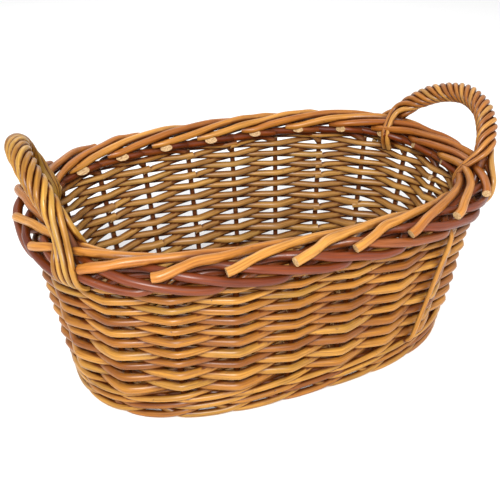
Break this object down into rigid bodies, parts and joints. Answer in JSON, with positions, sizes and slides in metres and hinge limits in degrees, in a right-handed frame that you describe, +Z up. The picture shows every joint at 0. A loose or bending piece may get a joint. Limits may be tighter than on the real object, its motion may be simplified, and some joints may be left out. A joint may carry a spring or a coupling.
{
  "type": "woven fruit basket",
  "caption": "Oval open basket of varnished willow rods, randed over stakes on a stick base, with a rolled rod border and a twisted rod handle at each end",
  "frame": {"origin": "bottom centre of the basket, on the plane that it rests on", "axes": "+X along the length toward the right handle, +Y across the width, +Z up"},
  "size_m": [0.4014, 0.2772, 0.2112],
  "materials": {
    "weave_rod": "varnished honey-brown willow, satin gloss",
    "wale_rod": "varnished honey-brown willow, satin gloss",
    "border_rod": "varnished red-brown willow, satin gloss",
    "handle_rod": "varnished willow rods twisted round a bow, satin gloss",
    "stake": "varnished brown willow, satin gloss",
    "base_rod": "varnished willow, satin",
    "base_stick": "varnished willow sticks, satin"
  },
  "bodies": {
    "root": {"base_long_sticks": "base_stick", "base_short_sticks": "base_stick", "base_under_weave": "base_rod", "base_upper_weave": "base_rod", "bottom_wale_outer": "wale_rod", "bottom_wale_inner": "wale_rod", "upsett_wale_outer": "wale_rod", "upsett_wale_inner": "wale_rod", "border_outer_roll": "border_rod", "border_inner_roll": "border_rod", "border_crown": "border_rod", "border_tails": "border_rod", "left_handle_bow": "handle_rod", "left_handle_wrap": "handle_rod", "left_handle_lashing": "handle_rod", "right_handle_bow": "handle_rod", "right_handle_wrap": "handle_rod", "right_handle_lashing": "handle_rod", "stake_01": "stake", "stake_02": "stake", "stake_03": "stake", "stake_04": "stake", "stake_05": "stake", "stake_06": "stake", "stake_07": "stake", "stake_08": "stake", "stake_09": "stake", "stake_10": "stake", "stake_11": "stake", "stake_12": "stake", "stake_13": "stake", "stake_14": "stake", "stake_15": "stake", "stake_16": "stake", "stake_17": "stake", "stake_18": "stake", "stake_19": "stake", "stake_20": "stake", "stake_21": "stake", "stake_22": "stake", "side_row_01": "weave_rod", "side_row_02": "weave_rod", "side_row_03": "weave_rod", "side_row_04": "weave_rod", "side_row_05": "weave_rod", "side_row_06": "weave_rod", "side_row_07": "weave_rod", "side_row_08": "weave_rod", "side_row_09": "weave_rod", "side_row_10": "weave_rod", "side_row_11": "weave_rod", "side_row_12": "weave_rod", "side_row_13": "weave_rod", "side_row_14": "weave_rod", "side_row_15": "weave_rod", "side_row_16": "weave_rod", "side_row_17": "weave_rod", "side_row_18": "weave_rod", "side_row_19": "weave_rod", "side_row_20": "weave_rod"}
  },
  "joints": []
}
